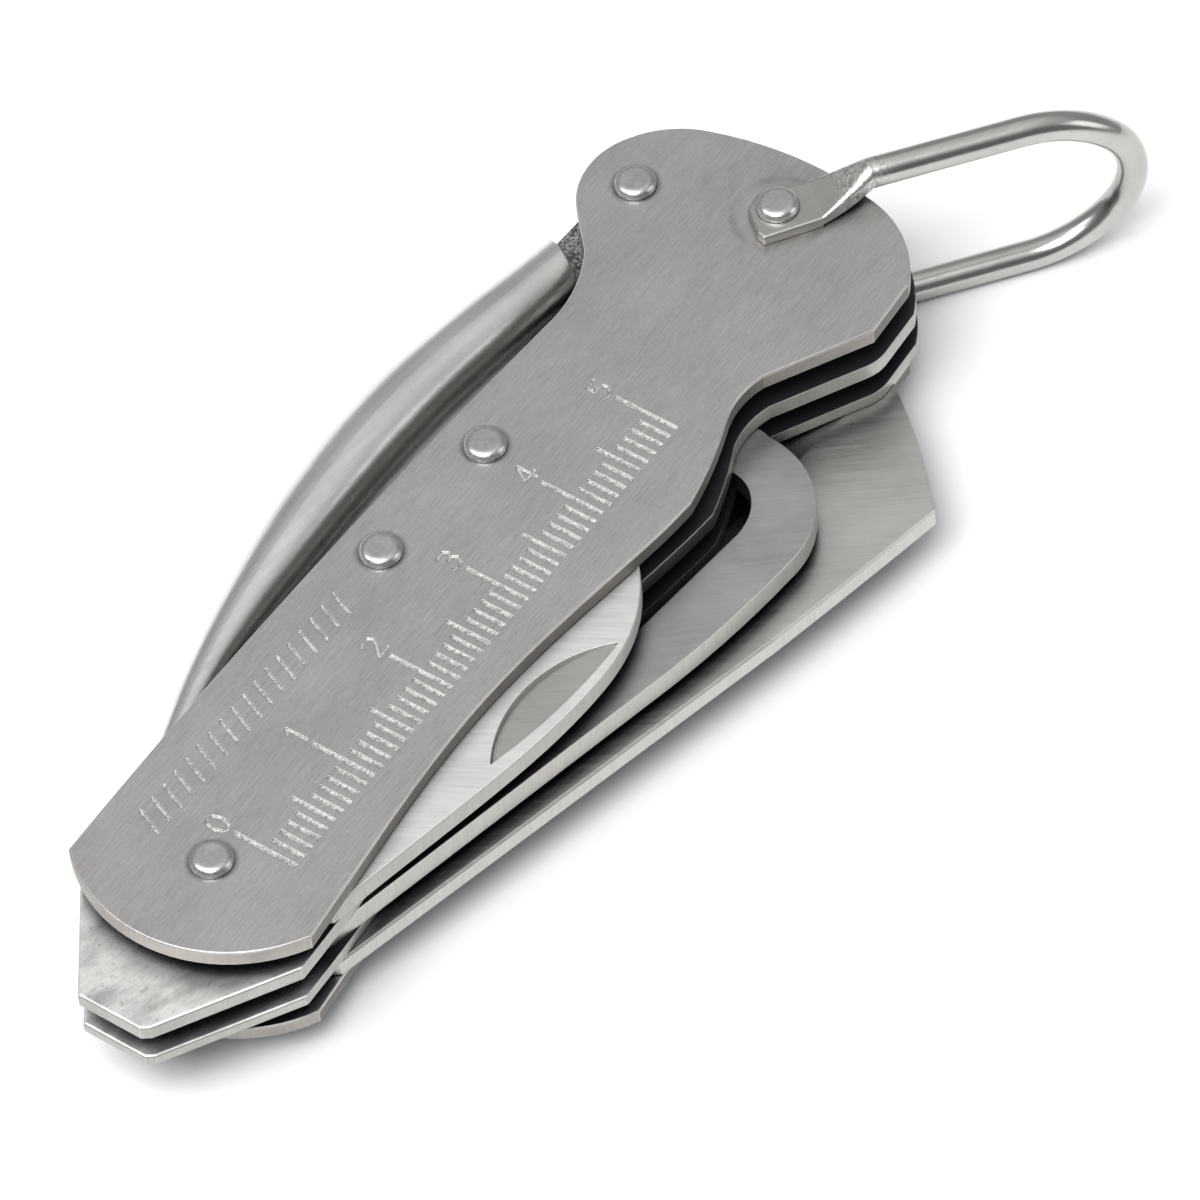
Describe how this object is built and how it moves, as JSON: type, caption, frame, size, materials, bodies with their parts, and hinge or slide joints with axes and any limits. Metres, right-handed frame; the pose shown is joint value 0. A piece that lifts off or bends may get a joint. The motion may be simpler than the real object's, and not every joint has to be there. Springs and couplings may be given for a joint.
{
  "type": "rigging knife",
  "caption": "Folding rigging knife with sheepfoot blade, shackle key, tin opener, pivoting marlinspike, engraved centimetre ruler and a hinged lanyard bail.",
  "frame": {"origin": "middle of the bounding box's base, which is the outside of the bail's rear leg; at rest every tool is folded in, as pictured", "axes": "+X along the handle from the screwdriver end to the bail end, +Y from the tools' side to the marlinspike's side, +Z out of the engraved front scale"},
  "size_m": [0.113, 0.0434, 0.0176],
  "materials": {
    "scale_steel": "satin, fine grain along the handle",
    "liner_steel": "stamped, lightly tumbled edges",
    "spring_steel": "hardened, ground, dull",
    "rivet_steel": "peened and lightly polished",
    "opener_steel": "matte ground",
    "key_steel": "brushed, scratched",
    "blade_steel": "diagonally ground",
    "spike_steel": "tumbled polish",
    "wire_steel": "bright polished wire"
  },
  "bodies": {
    "handle": {"front_scale": "scale_steel", "front_liner": "liner_steel", "rear_liner": "liner_steel", "back_scale": "scale_steel", "opener_spring": "spring_steel", "key_and_spike_spring": "spring_steel", "blade_spring": "spring_steel", "tool_pivot_rivet": "rivet_steel", "spring_rivet_a": "rivet_steel", "spring_rivet_b": "rivet_steel", "spike_pivot_rivet": "rivet_steel", "bail_rivet": "rivet_steel", "front_bail_collar": "rivet_steel", "middle_bail_collar": "rivet_steel", "rear_bail_collar": "rivet_steel"},
    "tin_opener": {"tin_opener": "opener_steel"},
    "shackle_key": {"shackle_key": "key_steel"},
    "main_blade": {"main_blade": "blade_steel"},
    "marlinspike": {"marlinspike": "spike_steel"},
    "lanyard_bail": {"lanyard_bail": "wire_steel"}
  },
  "joints": [
    {"name": "opener_hinge", "type": "hinge", "parent": "handle", "child": "tin_opener", "pos_m": [-0.04294, 0.00161, 0.01192], "axis": [0, 0, -1], "range_deg": [0, 180]},
    {"name": "key_hinge", "type": "hinge", "parent": "handle", "child": "shackle_key", "pos_m": [-0.04294, 0.00161, 0.0084], "axis": [0, 0, -1], "range_deg": [0, 180]},
    {"name": "blade_hinge", "type": "hinge", "parent": "handle", "child": "main_blade", "pos_m": [-0.04294, 0.00161, 0.00535], "axis": [0, 0, -1], "range_deg": [0, 180]},
    {"name": "spike_hinge", "type": "hinge", "parent": "handle", "child": "marlinspike", "pos_m": [0.02886, 0.01311, 0.0084], "axis": [0, 0, -1], "range_deg": [0, 140]},
    {"name": "bail_hinge", "type": "hinge", "parent": "handle", "child": "lanyard_bail", "pos_m": [0.03226, 0.00165, 0.0088], "axis": [0, 0, 1], "range_deg": [-75, 128]}
  ]
}
